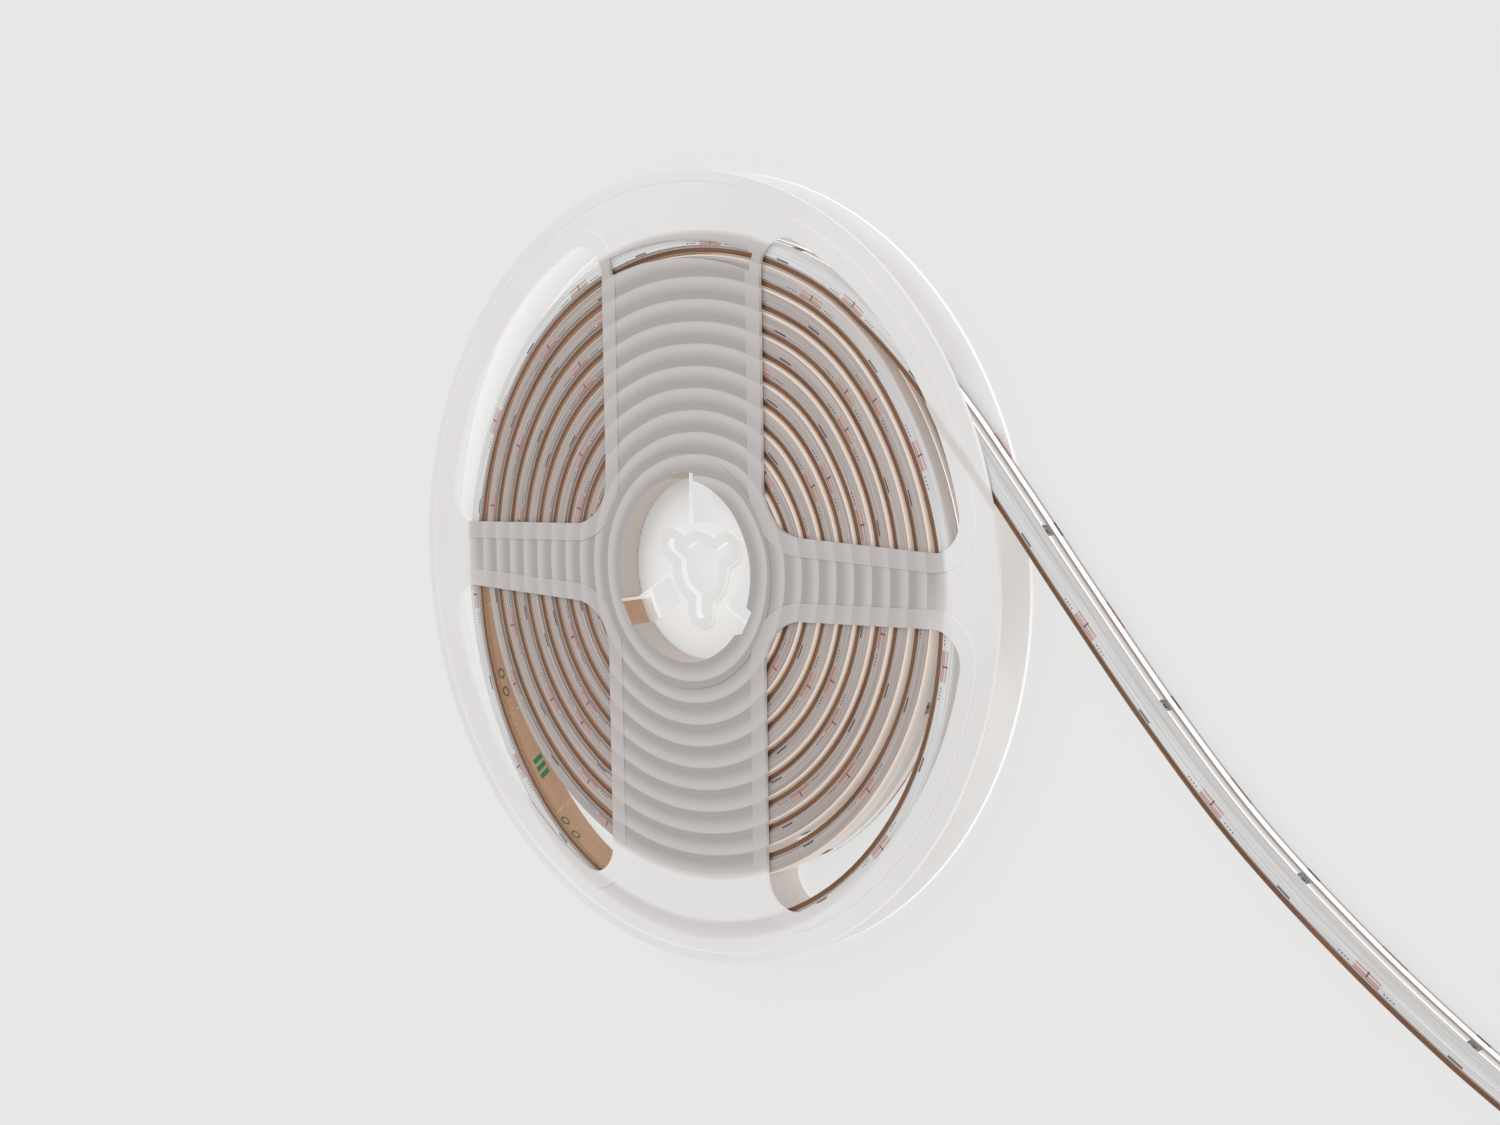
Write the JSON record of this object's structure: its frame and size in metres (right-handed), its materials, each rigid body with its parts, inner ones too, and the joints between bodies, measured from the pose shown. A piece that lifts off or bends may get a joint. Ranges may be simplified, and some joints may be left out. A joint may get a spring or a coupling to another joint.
{
  "type": "led strip light reel",
  "caption": "Flat plastic reel with windowed flanges and a recessed arbor hub, wound with a clear silicone LED strip whose free end runs off the roll.",
  "frame": {"origin": "middle of the footprint of reel and free strip end, on the plane of the rear flange's outer face", "axes": "+Z along the reel's axis from the rear flange to the front flange, +X from the hub towards the side on which the free end lies, +Y towards the spoke with the curved slot"},
  "size_m": [0.3336, 0.2, 0.0127],
  "materials": {
    "rear_plastic": "moulded, warm white, slightly translucent",
    "front_plastic": "moulded, milky, translucent",
    "silicone": "clear silicone, glossy",
    "board": "flexible circuit board, white-grey film with copper marks",
    "gel": "soft gel over a row of light-emitting dies",
    "tape": "dark brown foam tape",
    "liner": "tan release paper",
    "plug": "moulded silicone",
    "chip": "chip resistor"
  },
  "bodies": {
    "root": {"rear_flange": "rear_plastic", "front_flange": "front_plastic", "silicone_sleeve": "silicone", "circuit_board": "board", "led_gel_line": "gel", "adhesive_tape": "tape", "release_liner": "liner", "inner_end_plug": "plug", "outer_end_plug": "plug", "resistor_1": "chip", "resistor_2": "chip", "resistor_3": "chip", "resistor_4": "chip"}
  },
  "joints": []
}
